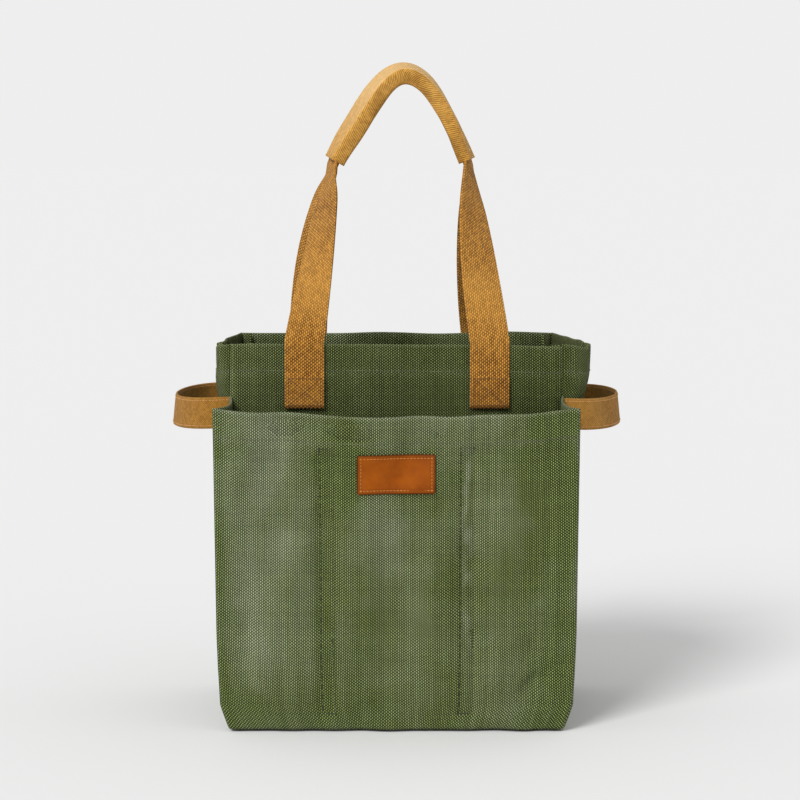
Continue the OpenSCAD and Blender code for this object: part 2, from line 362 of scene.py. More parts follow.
weave = {"bump": 0.00260, "column": 0.00172, "sharp": 2.4, "relief": 0.0019}
finish = {
    "canvas": {
        "dark": (0.004, 0.008, 0.001), "light": (0.700, 0.890, 0.250),
        "washDark": (0.024, 0.042, 0.012), "washLight": (0.930, 1.000, 0.620),
        "fleck": 0.2, "yarn": 0.4, "wash": 0.62, "wearAndPaintedLight": 1.0, "sheen": 0.03, **weave,
    },
    "canvasDeep": {
        "dark": (0.003, 0.006, 0.001), "light": (0.480, 0.590, 0.142),
        "washDark": (0.013, 0.022, 0.006), "washLight": (0.820, 0.920, 0.430),
        "fleck": 0.2, "yarn": 0.4, "wash": 0.35, "wearAndPaintedLight": 0.8, "sheen": 0.02, **weave,
    },
    "webbing": {
        "dark": (0.090, 0.026, 0.002), "light": (1.00, 0.460, 0.072), "pale": (0.98, 0.50, 0.10),
        "shade": (0.30, 0.110, 0.014), "column": 0.0019, "bump": 0.0031, "sharp": 1.3,
        "relief": 0.0012,
    },
    "twill": {
        "dark": (0.22, 0.080, 0.004), "light": (0.84, 0.435, 0.080), "pale": (0.84, 0.48, 0.13),
        "shade": (0.18, 0.062, 0.001), "topHighlight": (0.98, 0.66, 0.30), "pitch": 0.0022, "relief": 0.0009,
    },
    "leather": {"dark": (0.16, 0.026, 0.0002), "light": (0.40, 0.095, 0.0006), "edge": (0.10, 0.024, 0.001)},
    "thread": {"dark": (0.030, 0.040, 0.012), "light": (0.200, 0.225, 0.105)},
    "rowThread": {"dark": (0.010, 0.014, 0.005), "light": (0.055, 0.066, 0.028)},
    "tanThread": {"dark": (0.45, 0.17, 0.035), "light": (0.85, 0.46, 0.16)},
    "boxThread": {"dark": (0.07, 0.022, 0.002), "light": (0.22, 0.085, 0.012)},
    "patchThread": {"dark": (0.42, 0.13, 0.010), "light": (0.85, 0.33, 0.050)},
}

canvas = canvasMaterial("washed canvas", finish["canvas"])
# a darker copy of the canvas, for the body's front, sides, floor, dividers and seam edges
canvasDeep = canvasMaterial("darker canvas", finish["canvasDeep"])
webbing = webbingMaterial("webbing", finish["webbing"])
twill = twillMaterial("tan twill", finish["twill"])
leather = leatherMaterial("leather", finish["leather"])
thread = threadMaterial("green thread", finish["thread"])
tanThread = threadMaterial("tan thread", finish["tanThread"])
rowThread = threadMaterial("dark green thread", finish["rowThread"])
boxThread = threadMaterial("brown thread", finish["boxThread"])
patchThread = threadMaterial("orange thread", finish["patchThread"])
print("materials ready")


def normalsOf(surface, u, z, step=0.001):
    # unit normals of a surface given as a function of place across and height
    du = surface(u + step, z) - surface(u - step, z)
    dz = surface(u, z + step) - surface(u, z - step)
    n = np.cross(du, dz)
    return n / np.linalg.norm(n, axis=-1, keepdims=True)


def hemmedPath(low, high, cell):
    # (height, inset) pairs up the outside of a panel, over its hem and down the inside
    up = [(z, 0.0) for z in spaced(low, high - 0.004, cell)]
    bend = cloth["hemBend"]
    top = [(high - bend + bend * math.sin(a), bend - bend * math.cos(a))
           for a in np.linspace(0, math.pi, 7)]
    down = [(z, 2 * bend) for z in spaced(high - 0.006, high - cloth["hem"], cloth["cell"]).tolist()]
    return up + top + down


def hemmedPanel(name, surface, uRange, low, high, material, wearAndLightAt, flip=False,
                cell=cloth["cell"]):
    # a panel of cloth with its top edge folded to the inside
    us = spaced(uRange[0], uRange[1], cell)
    path = hemmedPath(low, high, cell)
    z = np.array([p[0] for p in path])[:, None] + 0 * us[None, :]
    inset = np.array([p[1] for p in path])[:, None]
    u = us[None, :] + 0 * z
    side = -1 if flip else 1
    points = surface(u, z) - side * normalsOf(surface, u, z) * inset[..., None]
    run = np.concatenate([[0], np.cumsum(np.hypot(*np.diff(np.array(path), axis=0).T))])
    uvs = np.stack([u, run[:, None] + 0 * u], -1)
    wearAndPaintedLight = wearAndLightAt(u, z)
    piece = meshPiece(name, points.reshape(-1, 3), gridFaces(*u.shape, flip=flip),
                      uvs.reshape(-1, 2), material, wearAndPaintedLight)
    giveThickness(piece, cloth["thick"])
    flat = (float(uRange[1] - uRange[0]), float(run[-1]))
    return piece, flat


bodyLook = {
    "bow": 0.0025, "ripple": 0.0012, "rimWave": 0.0005,
    "strapAt": 0.088,  # where the straps' sewn ends hold the panels flat
    "sideCell": 0.0019,  # finer faces for the gathered gussets
}
gussetLook = {
    1: {"bulge": 0.0275, "pucker": 0.0010},  # right, seen from the front
    -1: {"bulge": 0.0150, "pucker": 0.0026},  # left, gathered at its rim
}


def rimLift(x, z, seed):
    # the small waves of the rim, dying out further down
    return softNoise(x, 0 * x, 0.11, seed) * bodyLook["rimWave"] * smooth(z, rimZ - 0.12, rimZ)


def turnIn(x, half, r):
    # how far a panel turns back from its face beside its two upright seams
    over = np.clip(np.abs(x) - (half - r), 0, r)
    return r - np.sqrt(np.maximum(r * r - over * over, 0))


def heldByStraps(x):
    return 1 - 0.8 * bump(np.abs(x), bodyLook["strapAt"], 0.024)


def frontSurface(x, z):
    y = frontY + turnIn(x, halfW, cloth["seamRound"])
    quiet = heldByStraps(x)
    y = y + bodyLook["ripple"] * softNoise(x, z * 0.5, 0.07, 11) * quiet * smooth(z, 0, 0.1)
    fold = bump(x, 0.140, 0.006) * 0.0022 * smooth(z, 0.25, 0.36)
    y = y + fold + bodyLook["bow"] * (1 - (x / halfW) ** 2) * 0.3 * smooth(z, 0.1, 0.36)
    lift = rimLift(x, z, 21) - 0.0025 * smooth(x, 0.09, halfW) * smooth(z, 0.2, rimZ)
    return np.stack([x, y, z + lift], -1)


def backSurface(x, z):
    y = backY - turnIn(x, halfW, cloth["seamRound"])
    quiet = heldByStraps(x)
    sag = softNoise(x, z * 0.6, 0.12, 31) * 0.0025 + softNoise(x, z, 0.045, 32) * 0.0006
    edge = smooth(z, 0, 0.06) * (1 - smooth(np.abs(x), halfW - 0.03, halfW))
    y = y + sag * quiet * edge - 0.004 * bump(x, 0, 0.09) * smooth(z, 0.15, rimZ)
    return np.stack([x, y, z + rimLift(x, z, 22)], -1)


def smoothCurve(corners, count=160, passes=260):
    # an even, rounded curve through about the given corners, its two ends kept
    corners = np.array(corners, float)
    run = np.concatenate([[0], np.cumsum(np.linalg.norm(np.diff(corners, axis=0), axis=1))])
    even = np.linspace(0, run[-1], count)
    line = np.stack([np.interp(even, run, corners[:, k]) for k in range(corners.shape[1])], 1)
    for _ in range(passes):
        line[1:-1] = line[1:-1] * 0.5 + (line[:-2] + line[2:]) * 0.25
    run = np.concatenate([[0], np.cumsum(np.linalg.norm(np.diff(line, axis=0), axis=1))])
    return line, run


def gussetPlan(side):
    # out from the side seams and back along the bag: a quick turn behind the front seam,
    # a soft corner, then a long slant to the back seam
    look = gussetLook[side]
    shares = [(-0.02, 0.016), (0.30, 0.018), (0.72, 0.040), (0.97, 0.13), (1.04, 0.24),
              (0.88, 0.42), (0.62, 0.62), (0.30, 0.84), (0.06, 0.965), (-0.02, 0.984)]
    return smoothCurve([(a * look["bulge"], b * bodyDepth) for a, b in shares], passes=60)


def gussetSurface(side):
    look = gussetLook[side]
    plan, run = gussetPlan(side)
    total = run[-1]

    def surface(d, z):
        d = np.clip(d, 0, total)
        out, back = np.interp(d, run, plan[:, 0]), np.interp(d, run, plan[:, 1])
        f = d / total
        away = np.sin(math.pi * f)
        height = 0.12 * smooth(z, 0, 0.03) + 0.40 * smooth(z, 0, 0.26) + 0.48 * smooth(z, 0.27, 0.335)
        slack = 1 - 0.12 * bump(rimZ - z, 0.055, 0.035)
        out = out * height * slack
        gather = bump(f, 0.30, 0.20) * smooth(z, rimZ - 0.06, rimZ + 0.004) * smooth(f, 0, 0.08)
        out = out + look["pucker"] * gather * np.sin(d / 0.0026 + 1.0 + 2 * softNoise(d, z, 0.04, 44))
        out = out + softNoise(d, z * 0.6, 0.05, 41 + side) * 0.0016 * away
        back = back + softNoise(d, z * 0.6, 0.04, 43 + side) * 0.0012 * away
        lift = softNoise(d, 0 * d, 0.05, 45 + side) * 0.0010 * smooth(z, rimZ - 0.1, rimZ) * away
        drop = (0.0020 * away + 0.0035 * bump(f, 0.2, 0.12)) * smooth(z, rimZ - 0.1, rimZ)
        return np.stack([side * (halfW - 0.0006 + out), frontY + back, z + lift - drop], -1)

    return surface


def seamWear(u, z, low, high, rim, stitchDown):
    # paler at the hem's fold, along the hem's stitching and at the sewn edges
    edge = np.maximum(bump(u, low, 0.004), bump(u, high, 0.004)) * 0.35
    fold = bump(z, rim, 0.0022) * 0.55
    row = bump(z, rim - stitchDown, 0.0035) * 0.22
    return np.clip(edge + fold + row + 0.08 * softNoise(u, z, 0.03, 71), 0, 1)


bottomZ = frontLow.z


def bodyWear(u, z):
    return seamWear(u, z, -halfW, halfW, rimZ, cloth["hem"])


bodyFront, flatFront = hemmedPanel(
    "body_front", frontSurface, (-halfW, halfW), bottomZ, rimZ, canvasDeep, bodyWear)
bodyBack, flatBack = hemmedPanel(
    "body_back", backSurface, (-halfW, halfW), bottomZ, rimZ, canvas, bodyWear, flip=True)
gussets = {}
flatGusset = {}
for side, word in bothSides:
    wide = float(gussetPlan(side)[1][-1])
    gussets[side], flatGusset[side] = hemmedPanel(
        word + "_side", gussetSurface(side), (0.0, wide), bottomZ, rimZ, canvasDeep,
        # painted shade: the side panels are darker along their front seam, where they tuck behind the front
        # panel
        lambda u, z: seamWear(u, z, 0, wide, rimZ, cloth["hem"]) - 0.9 * bump(u, 0, 0.004),
        flip=side < 0, cell=bodyLook["sideCell"])


def seamFlaps():
    # the raw edges of the four upright seams, turned to the inside and overlocked
    points, faces, uvs = [], [], []
    for side in (-1, 1):
        for y, turn in ((frontY, 1), (backY, -1)):
            heights = spaced(0.006, rimZ - 0.0012, 0.006)
            outs = np.linspace(0, 1, 4)
            first = len(points)
            for z in heights:
                wave = 0.0010 * math.sin(z * 95 + side * 2 + turn)
                for share in outs:
                    x = side * (halfW - 0.0042 - 0.0075 * share)
                    points.append((x, y + turn * (0.0046 + (0.0042 + wave) * share), float(z)))
                    uvs.append((share * cloth["allowance"], float(z)))
            faces += [tuple(first + i for i in f)
                      for f in gridFaces(len(heights), len(outs), flip=side * turn > 0)]
    piece = meshPiece("seam_allowances", points, faces, uvs, canvasDeep, np.full(len(points), 0.25))
    giveThickness(piece, 0.0032, 0)
    return piece


seams = seamFlaps()
print("body panels made")


pocketLook = {
    "taper": 0.0035,  # narrower towards the bottom, each side
    "corner": 0.0085,  # how far the boxed corners cut in
    "cornerHigh": 0.026,
    "puff": 0.0048,
    "rowGap": 0.0115,  # between the two rows of a divider's stitching
    "sideSlack": 0.007,
    "foot": 0.0022,  # how high its lower edge starts
    "cell": 0.0022,
    "seamRound": 0.005,
}
pocketSag = 0.007
rowHalf = pocketLook["rowGap"] / 2


def pocketHalf(z):
    # half the pocket's width at a height: a slight taper, then the boxed corners
    t = np.clip(1 - z / pocketLook["cornerHigh"], 0, 1)
    return (halfP - pocketLook["taper"] * (1 - z / pocketZ) - 0.0025 * smooth(0.10 - z, 0, 0.10)
            - pocketLook["corner"] * t ** 1.2)


def pocketSurface(x, z):
    half = pocketHalf(z)
    px = x / halfP * half
    y = pocketY + turnIn(px, half, pocketLook["seamRound"])
    y = y + 0.006 * (1 - np.sqrt(np.clip(1 - (1 - np.clip(z / 0.006, 0, 1)) ** 2, 0, 1)))  # rounds under
    inside = 1 - smooth(np.abs(px), half - 0.04, half)
    room = smooth(z, 0.0, 0.05) * inside
    puff = pocketLook["puff"] * (np.cos(px / dividerX * math.pi) * -0.35 + 0.4)
    y = y - puff * room * (1 - smooth(z, 0.24, pocketZ))
    # the dividers' stitching pulls the cloth in, and puckers it
    for centre in (-dividerX, dividerX):
        near = bump(px, centre, 0.0125) * smooth(z, 0.008, 0.02) * (1 - smooth(z, 0.262, 0.278))
        rows = sum(bump(px, centre + s * rowHalf, 0.0018) for s in (-1, 1))
        y = y + 0.0060 * near + 0.0014 * rows * near
        pull = np.sin(z / 0.0021 + 3 * softNoise(px, z, 0.03, 52))
        y = y + (0.00060 * pull * bump(px, centre, 0.010)
                 * smooth(z, 0.01, 0.03) * (1 - smooth(z, 0.255, 0.275)))
    # long soft creases, flatter under the patch, and the drag lines up from the lower corners
    free = 1 - 0.85 * bump(px, 0, 0.052) * bump(z, patchZ, 0.036)
    y = y + softNoise(px, z * 0.45, 0.085, 53) * 0.0052 * room * free
    y = y + softNoise(px * 0.8, z, 0.038, 54) * 0.0017 * inside * free
    for s, seed in ((-1, 55), (1, 56)):
        cross = s * px * 0.78 - z * 0.62
        drag = np.sin(cross / 0.0055 + 1.5 * softNoise(px, z, 0.06, seed))
        y = y + 0.0022 * drag * bump(s * px, 0.135, 0.032) * bump(z, 0.045, 0.038)
    hemLine = pocketZ - cloth["hem"]
    y = y + 0.00035 * np.sin(px / 0.0019) * bump(z, hemLine, 0.006)
    y = y - 0.0007 * smooth(z, hemLine - 0.001, hemLine + 0.002)
    sag = pocketSag * (1 - (px / halfP) ** 2) * smooth(z, 0.12, pocketZ)
    wave = softNoise(px, 0 * px, 0.07, 57) * 0.0004 * smooth(z, 0.2, pocketZ)
    return np.stack([px, y, z - sag + wave], -1)


def pocketWearAndLight(u, z):
    base = seamWear(u, z, -halfP, halfP, pocketZ, cloth["hem"])
    sewn = smooth(z, 0.01, 0.02) * (1 - smooth(z, 0.262, 0.274))
    rows = sum(bump(u, c + s * rowHalf, 0.0022) for c in (-dividerX, dividerX) for s in (-1, 1))
    # painted highlight: a pale streak down the right divider, broken up by noise
    paintedLightStreaks = np.clip(0.45 + 0.7 * softNoise(u * 2.0, z * 0.6, 0.016, 73), 0, 1)
    dividerHighlight = (bump(u, dividerX + 0.0005, 0.0052) * smooth(z, 0.05, 0.14)
              * (1 - smooth(z, 0.262, 0.278)) * paintedLightStreaks)
    blotch = np.clip(0.5 + 0.6 * softNoise(u, z * 0.45, 0.045, 72), 0, 1.2)
    wornAndShaded = bump(u, -0.120, 0.040) * smooth(z, 0.02, 0.12) * 0.85
    wornAndShaded = wornAndShaded + bump(u, -0.008, 0.028) * bump(z, 0.20, 0.060) * 0.45
    wornAndShaded = wornAndShaded + bump(u, 0.095, 0.018) * bump(z, 0.22, 0.05) * 0.2
    # darker places: painted shade at the left edge, where the panel turns away, and at the foot, where it
    # rounds under; darker towards the right side, partly the cloth's own colour and partly painted shade; two
    # darker patches; less dark by the hem
    darkerAndShade = smooth(u, 0.09, halfP) * 0.40 + 0.60 * bump(u, -halfP, 0.008)
    darkerAndShade = darkerAndShade + 0.05 * bump(z, 0.0, 0.045) - 0.12 * smooth(z, 0.265, 0.30)
    darkerAndShade = darkerAndShade + 0.30 * bump(u, -0.046, 0.018) * smooth(z, 0.1, 0.2)
    darkerAndShade = darkerAndShade + 0.28 * bump(u, 0.045, 0.020) * (1 - smooth(z, 0.1, 0.22))
    # painted shade in the valley left of the left divider and along the divider stitch rows
    darkerAndShade = darkerAndShade + 0.34 * bump(u, -dividerX - 0.002, 0.009) * sewn + 0.20 * rows * sewn
    foot = bump(z, 0.0, 0.004) * 0.25
    return np.clip(base + dividerHighlight + wornAndShaded * (0.4 + 0.6 * blotch) + foot - darkerAndShade, -0.6, 1)


pocketFront, flatPocket = hemmedPanel(
    "pocket_front", pocketSurface, (-halfP, halfP), pocketLook["foot"], pocketZ, canvas, pocketWearAndLight,
    cell=pocketLook["cell"])


def pocketSideSurface(side):
    def surface(d, z):
        f = np.clip(d / pocketDepth, 0, 1)
        frontX = pocketHalf(z) - 0.0007
        x = frontX + (halfW + 0.0008 - frontX) * f
        x = x - pocketLook["sideSlack"] * np.sin(math.pi * f) * smooth(z, 0.03, 0.25)
        x = x + softNoise(d, z * 0.5, 0.05, 61 + side) * 0.0012 * np.sin(math.pi * f)
        y = pocketY + 0.0045 + (pocketDepth - 0.0015) * f
        rise = (0.0065 * f - 0.0020 * np.sin(math.pi * f)) * smooth(z, 0.2, pocketZ)
        return np.stack([side * x, y, z + rise], -1)

    return surface


pocketSides = {}
for side, word in bothSides:
    pocketSides[side], flatPocketSide = hemmedPanel(
        "pocket_" + word + "_side", pocketSideSurface(side), (0.0005, pocketDepth - 0.0005),
        pocketLook["foot"], pocketZ, canvas,
        lambda u, z: seamWear(u, z, 0, pocketDepth, pocketZ, cloth["hem"]), flip=side < 0)
print("pocket panels made")


def floorPanel(name, outline, material, z):
    # a flat bottom sheet: rows run along X between the outline's two sides
    rows = len(outline)
    cols = 60
    grid, uvs = [], []
    for y, left, right in outline:
        for i in range(cols):
            x = left + (right - left) * i / (cols - 1)
            grid.append((x, y, z))
            uvs.append((x, y))
    points = np.array(grid)
    points[:, 2] += 0.0003 * softNoise(points[:, 0], points[:, 1], 0.05, 81)
    piece = meshPiece(name, points, gridFaces(rows, cols), uvs, material, np.full(len(grid), 0.05))
    giveThickness(piece, cloth["thick"])
    return piece


def bodyOutline():
    rows = []
    left, right = gussetSurface(-1), gussetSurface(1)
    wide = [float(gussetPlan(side)[1][-1]) for side in (-1, 1)]
    for y in spaced(frontY + 0.003, backY - 0.003, 0.006):
        ends = []
        for surface, total in ((left, wide[0]), (right, wide[1])):
            edge = surface(np.linspace(0, total, 120), np.full(120, 0.004))
            ends.append(float(np.interp(y, edge[:, 1], edge[:, 0])))
        rows.append((y, ends[0] + 0.001, ends[1] - 0.001))
    return rows


def pocketOutline():
    half = float(pocketHalf(0.003)) - 0.001
    return [(y, -half, half) for y in spaced(pocketY + 0.011, frontY + 0.003, 0.006)]


bottom = floorPanel("bottom", bodyOutline(), canvasDeep, 0.0020)
pocketFloor = floorPanel("pocket_floor", pocketOutline(), canvas, 0.0026)
flatBottom = (halfW * 2, bodyDepth)
flatPocketFloor = (halfP * 2 * 0.94, pocketDepth)


def dividerPiece(side, word):
    # an upright sheet from the pocket's front to the body, its front edge turned for sewing
    low, high = dividerLow.z, dividerHigh.z
    flange = 0.012
    us = spaced(-flange, pocketDepth - 0.0045, 0.004)
    zs = spaced(low, high, 0.006)
    z, u = np.meshgrid(zs, us, indexing="ij")
    front = pocketSurface(np.full(zs.shape, side * dividerX), zs)[:, 1][:, None]
    y = front + 0.0026 + np.maximum(u, 0)
    bow = np.where(u > 0, 0.004 * np.sin(np.clip(u, 0, 1) / pocketDepth * math.pi * 2), 0)
    x = side * (dividerX - 0.006 + np.clip(-u, 0, flange)) + bow
    points = np.stack([x, y, z], -1)
    piece = meshPiece(word + "_pocket_divider", points.reshape(-1, 3), gridFaces(*u.shape),
                      np.stack([u, z], -1).reshape(-1, 2), canvasDeep, np.zeros(u.size))
    giveThickness(piece, 0.0012, 0)
    return piece, (float(us[-1] - us[0]), float(high - low))


dividers = {}
for side, word in bothSides:
    dividers[side], flatDivider = dividerPiece(side, word)
print("dividers and bottoms made")


def ribbon(name, centres, across, width, thick, material, wearAndPaintedLight, narrow=None):
    # a flat strap along a path: centres, across, wear and narrow have one row for each station
    centres, across = np.asarray(centres, float), np.asarray(across, float)
    run = np.gradient(centres, axis=0)
    run /= np.linalg.norm(run, axis=1, keepdims=True)
    across = across - run * np.sum(across * run, 1, keepdims=True)
    across /= np.linalg.norm(across, axis=1, keepdims=True)
    through = np.cross(run, across)
    steps = 8
    half, t = width / 2, thick / 2
    reach = half - t
    turn = (0.7, 1.57, 2.44)
    section = [(-reach + 2 * reach * i / steps, t) for i in range(steps + 1)]
    section += [(reach + t * math.sin(a), t * math.cos(a)) for a in turn]
    section += [(reach - 2 * reach * i / steps, -t) for i in range(steps + 1)]
    section += [(-reach - t * math.sin(a), -t * math.cos(a)) for a in turn]
    flat = np.array(section)
    count = len(flat)
    slim = np.ones(len(centres)) if narrow is None else np.asarray(narrow, float)
    wide = across[:, None] * flat[None, :, :1] * slim[:, None, None]
    points = centres[:, None] + wide + through[:, None] * flat[None, :, 1:]
    length = np.concatenate([[0], np.cumsum(np.linalg.norm(np.diff(centres, axis=0), axis=1))])
    rows = len(centres)
    faces = []
    for i in range(rows - 1):
        for j in range(count):
            k = (j + 1) % count
            faces.append((i * count + j, i * count + k, (i + 1) * count + k, (i + 1) * count + j))
    faces.append(tuple(reversed(range(count))))
    faces.append(tuple((rows - 1) * count + j for j in range(count)))
    uvs = np.stack([np.broadcast_to(flat[None, :, 0], (rows, count)),
                    np.broadcast_to(length[:, None], (rows, count))], -1)
    wornAndShaded = np.broadcast_to(np.asarray(wearAndPaintedLight)[:, None], (rows, count))
    piece = meshPiece(name, points.reshape(-1, 3), faces, uvs.reshape(-1, 2), material, wornAndShaded)
    return faceOutwards(piece), (width, float(length[-1]))


strapLook = {
    "width": endHigh.x - endLow.x,
    "thick": 0.0024,
    "lean": 1.25,  # how late the legs leave the panel's plane
    "squeeze": 0.16,  # how much narrower the webbing is where the wrap holds it
    "ply": 0.0014,  # half the step between the two straps inside the wrap
    "turn": {"front": {-1: 0.85, 1: 1.35}, "back": {-1: 1.0, 1: 1.0}},  # how late each leg twists edge on
    "bow": {"front": {-1: 0.0005, 1: -0.002}, "back": {-1: -0.0065, 1: -0.001}},
    "footX": {"front": {-1: -0.0875, 1: 0.0885}, "back": {-1: -0.0895, 1: 0.0835}},
}
strapFaces = {"front": (frontSurface, -1), "back": (backSurface, 1)}
archLook = {
    "top": wrapHigh.z - 0.009,
    "foot": wrapEndZ + 0.003,
    # places along the middle of the wrap: X, and a share of the height from its ends to its top
    "course": [(-0.0610, 0.0), (-0.0500, 0.235), (-0.0390, 0.45), (-0.0270, 0.68), (-0.0140, 0.900),
               (0.0010, 1.045), (0.0160, 1.035), (0.0310, 0.885), (0.0430, 0.665), (0.0540, 0.42),
               (0.0620, 0.21), (0.0690, 0.0)],
}
archRise = archLook["top"] - archLook["foot"]
archLine, archRun = smoothCurve(
    [(x, archLook["foot"] + share * archRise) for x, share in archLook["course"]], 200, 160)
archSlope = np.gradient(archLine, axis=0)
archSlope /= np.linalg.norm(archSlope, axis=1, keepdims=True)


def archPoint(s):
    # the arch's centre line in X and Z, and its outward normal, at a share of its length
    at = s * archRun[-1]
    x, z = (np.interp(at, archRun, archLine[:, k]) for k in (0, 1))
    dx, dz = (np.interp(at, archRun, archSlope[:, k]) for k in (0, 1))
    return float(x), float(z), float(-dz), float(dx)


def wrapRoll(s):
    # the wrap is rolled towards the front on its left side, and lies level on its right
    return math.radians(14 + 5 * float(smooth(s, 0.0, 0.2)) - 17 * float(smooth(s, 0.30, 0.80))
                        + 7 * float(smooth(s, 0.80, 1.0)))


def wrapFrame(s):
    x, z, nx, nz = archPoint(s)
    out = np.array([nx, 0.0, nz])
    deep = np.array([0.0, 1.0, 0.0])
    roll = wrapRoll(s)
    o = out * math.cos(roll) - deep * math.sin(roll)
    d = deep * math.cos(roll) + out * math.sin(roll)
    return np.array([x, handleY, z]), o, d


def strapPath(which):
    # one strap from its left sewn end, up, through the wrap and down to its right sewn end
    face, sign = strapFaces[which]
    footZ = endLow.z
    off = strapLook["thick"] / 2 + 0.0004
    ply = -sign * strapLook["ply"]
    turns = strapLook["turn"][which]
    halves = {}
    for side in (-1, 1):
        footX = strapLook["footX"][which][side]
        end = 0.0 if side < 0 else 1.0
        centre, o, d = wrapFrame(end)
        head = centre + o * ply
        quarter = math.pi / 2 - wrapRoll(end)
        rows, across, wearAndPaintedLight, slim = [], [], [], []
        for zz in spaced(footZ, rimZ + 0.002, 0.004):
            y = float(face(footX, min(zz, rimZ))[1])
            fold = 0.0016 * (1 - float(smooth(zz, footZ + 0.026, footZ + 0.031)))
            rows.append((footX, y + sign * (off + fold), zz))
            across.append((1.0, 0.0, 0.0))
            # darker over the sewn box, with painted shade at its folded lower edge
            wearAndPaintedLight.append(1.5 - 1.2 * float(smooth(zz, footZ, footZ + 0.005)) if zz < footZ + 0.027 else 0.0)
            slim.append(1.0)
        foot = np.array(rows[-1])
        for t in np.linspace(0, 1, 46)[1:]:
            ease = t ** strapLook["lean"]
            p = foot + (head - foot) * np.array([t, ease, t])
            p[0] += strapLook["bow"][which][side] * math.sin(math.pi * t)
            a = quarter * t ** turns[side] + (0.13 * float(bump(t, 0.88, 0.07)) if side < 0 else 0)
            rows.append(tuple(p))
            across.append((math.cos(a), side * math.sin(a), 0.0))
            # painted shade where each leg runs in under the wrap
            wearAndPaintedLight.append(0.15 * float(smooth(t, 0.8, 1.0)))
            slim.append(1 - strapLook["squeeze"] * float(smooth(t, 0.72, 0.97)))
        halves[side] = (rows, across, wearAndPaintedLight, slim)
    rows, across, wearAndPaintedLight, slim = halves[-1]
    # the webbing turns edge on the other way on the right, so its width is flipped there
    middle, wide, shade = [], [], []
    for s in np.linspace(0.012, 0.988, 70):
        centre, o, d = wrapFrame(s)
        middle.append(tuple(centre + o * ply))
        wide.append(tuple(-d))
        # painted shade inside the wrap
        shade.append(0.6)
    right = halves[1]
    rows = rows + middle + right[0][::-1]
    across = across + wide + [(-a, -b, c) for a, b, c in right[1][::-1]]
    wearAndPaintedLight = wearAndPaintedLight + shade + right[2][::-1]
    slim = slim + [1 - strapLook["squeeze"]] * len(middle) + right[3][::-1]
    return rows, across, wearAndPaintedLight, slim


straps = {}
flatStrap = {}
for which in ("front", "back"):
    rows, across, wearAndPaintedLight, slim = strapPath(which)
    straps[which], flatStrap[which] = ribbon(
        which + "_strap", rows, across, strapLook["width"], strapLook["thick"], webbing, wearAndPaintedLight, slim)
print("straps made")

wrapLook = {"width": 0.0385, "thick": 0.0140, "wall": 0.0017, "corner": 0.0038,
            "lap": 0.0013, "lapAt": 0.008}


def wrapSlim(s):
    # the wrap gets thinner towards its right end
    return 1 - 0.12 * float(smooth(s, 0.62, 0.95))


def wrapSection(half, rise, corner):
    # a flat sleeve's section: two wide faces, two narrow ones and four crisp folds
    points = []
    for cx, cz, start in ((1, 1, 0), (-1, 1, 90), (-1, -1, 180), (1, -1, 270)):
        for a in (0, 22.5, 45, 67.5, 90):
            turn = math.radians(start + a)
            points.append((cx * (half - corner) + corner * math.cos(turn),
                           cz * (rise - corner) + corner * math.sin(turn)))
        if cx * cz > 0:
            shares = (0.75, 0.5, 0.25, 0.0, -0.25, -0.5, -0.75)
            points += [(cx * (half - corner) * t, cz * rise) for t in shares]
        else:
            points += [(cx * half, cz * (rise - corner) * t) for t in (0.4, -0.4)]
    return points


def wrapTube():
    # a flattened sleeve round both straps, open at its ends, with its long edges lapped below
    look = wrapLook
    stations = np.linspace(0.0, 1.0, 90)
    outer, inner = [], []
    for s in stations:
        centre, o, d = wrapFrame(s)
        tight = 1 - 0.10 * float(bump(s, 0.0, 0.08)) - 0.10 * float(bump(s, 1.0, 0.05))
        slim = wrapSlim(s)
        for ring, shrink in ((outer, 0.0), (inner, look["wall"])):
            section = wrapSection(look["width"] / 2 - shrink, look["thick"] / 2 * slim - shrink,
                                  look["corner"] - 0.8 * shrink)
            for k, (w, h) in enumerate(section):
                ridge = 0.00035 * float(softNoise(s * 0.23, w, 0.045, 91))
                edge = look["lap"] * (0.5 - 0.5 * math.tanh((w - look["lapAt"]) / 0.0005))
                lap = edge if h < 0 and shrink == 0 else 0
                ring.append(centre + d * w * tight + o * (h + ridge * (1 if h > 0 else -1) - lap))
    steps = len(section)
    count = len(stations)
    points = np.array(outer + inner)
    base = count * steps
    faces = []
    for i in range(count - 1):
        for k in range(steps):
            j = (k + 1) % steps
            quad = (i * steps + k, i * steps + j, (i + 1) * steps + j, (i + 1) * steps + k)
            faces += [quad, tuple(base + q for q in reversed(quad))]
    for i in (0, count - 1):
        for k in range(steps):
            j = (k + 1) % steps
            a, b = i * steps + k, i * steps + j
            faces.append((a, base + a, base + b, b) if i == 0 else (b, base + b, base + a, a))
    girth = np.concatenate([[0], np.cumsum([math.dist(a, b) for a, b in zip(section[:-1], section[1:])])])
    length = float(archRun[-1])
    uvs, wearAndPaintedLight = [], []
    for i in range(count):
        at = length * i / (count - 1)
        # painted highlight along the top face of the arch, as values below zero; painted shade, streaked
        # along dark creases, on its sides and underside
        topHighlight = -0.70 * float(bump(i / (count - 1), 0.47, 0.36))
        for k in range(steps):
            uvs.append((float(girth[k]), at))
            paintedLightStreaks = float(softNoise(at * 0.22, girth[k] * 1.5, 0.012, 92))
            top = section[k][1] > look["thick"] * 0.3
            wearAndPaintedLight.append(topHighlight if top else 0.08 + 0.34 * max(0.0, paintedLightStreaks))
    piece = meshPiece("handle_wrap_sleeve", points, faces, uvs * 2, twill, wearAndPaintedLight * 2)
    return faceOutwards(piece), (float(girth[-1]), length)


wrap, flatWrap = wrapTube()
print("handle wrap made")

